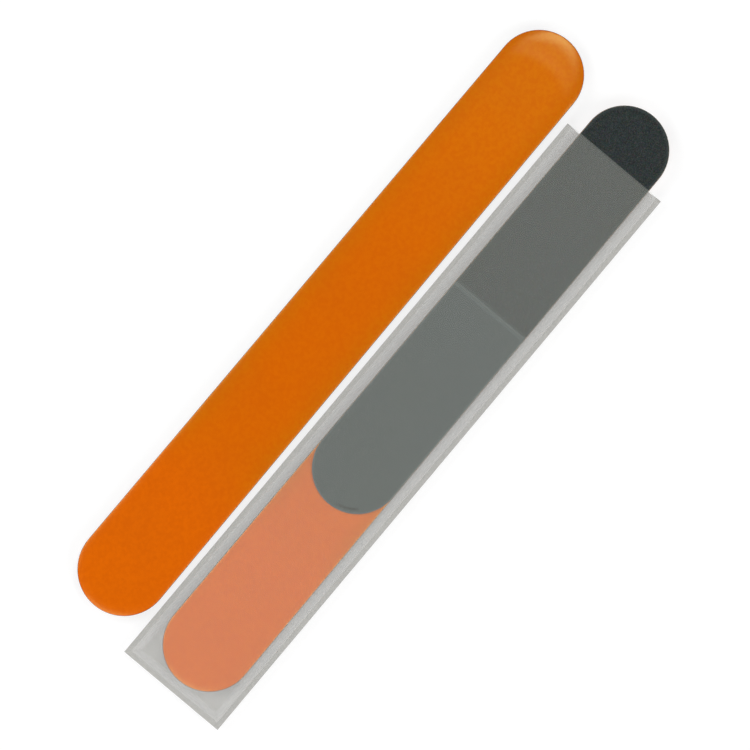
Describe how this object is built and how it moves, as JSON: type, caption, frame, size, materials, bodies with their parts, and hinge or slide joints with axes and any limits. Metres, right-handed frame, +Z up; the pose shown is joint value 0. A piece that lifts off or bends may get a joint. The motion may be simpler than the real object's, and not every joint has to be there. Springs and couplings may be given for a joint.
{
  "type": "emery board",
  "caption": "Cushioned emery board with a coarse and a fine file pad on one face, slid into a translucent film sleeve with its tip out, beside a matching bare board lying plain side up.",
  "frame": {"origin": "centre of the flat underside of the sleeve's lower film, where the sleeve rests", "axes": "+X along the boards towards the file's tip and the sleeve's open mouth, +Y from the sleeved board towards the bare board, +Z up"},
  "size_m": [0.182, 0.0535, 0.0051],
  "materials": {
    "orange_cover": "satin coated sheet",
    "eva_foam": "die-cut closed-cell foam",
    "polystyrene": "stiff white sheet",
    "glue_film": "transfer adhesive",
    "backing_paper": "latex-saturated paper",
    "coarse_grit": "coarse black grit in resin",
    "fine_grit": "fine dark grit in resin",
    "smoke_film": "translucent frosted film"
  },
  "bodies": {
    "sleeve": {"sleeve_upper_film": "smoke_film", "sleeve_lower_film": "smoke_film", "sleeve_left_weld": "smoke_film", "sleeve_right_weld": "smoke_film", "sleeve_end_weld": "smoke_film"},
    "sleeved_board": {"sleeved_core": "polystyrene", "sleeved_plain_core_glue": "glue_film", "sleeved_plain_foam": "eva_foam", "sleeved_plain_cover_glue": "glue_film", "sleeved_plain_cover": "orange_cover", "sleeved_file_core_glue": "glue_film", "sleeved_file_foam": "eva_foam", "sleeved_file_cover_glue": "glue_film", "sleeved_file_cover": "orange_cover", "sleeved_coarse_pad_glue": "glue_film", "sleeved_fine_pad_glue": "glue_film", "sleeved_coarse_paper": "backing_paper", "sleeved_fine_paper": "backing_paper", "sleeved_coarse_grit": "coarse_grit", "sleeved_fine_grit": "fine_grit"},
    "bare_board": {"bare_core": "polystyrene", "bare_plain_core_glue": "glue_film", "bare_plain_foam": "eva_foam", "bare_plain_cover_glue": "glue_film", "bare_plain_cover": "orange_cover", "bare_file_core_glue": "glue_film", "bare_file_foam": "eva_foam", "bare_file_cover_glue": "glue_film", "bare_file_cover": "orange_cover", "bare_coarse_pad_glue": "glue_film", "bare_fine_pad_glue": "glue_film", "bare_coarse_paper": "backing_paper", "bare_fine_paper": "backing_paper", "bare_coarse_grit": "coarse_grit", "bare_fine_grit": "fine_grit"}
  },
  "joints": [
    {"name": "sleeved_board_slide", "type": "slide", "parent": "sleeve", "child": "sleeved_board", "axis": [1, 0, 0], "range_m": [0, 0.17]},
    {"name": "bare_board_lift", "type": "slide", "parent": "sleeve", "child": "bare_board", "axis": [0, 0, 1], "range_m": [0, 0.05]}
  ]
}
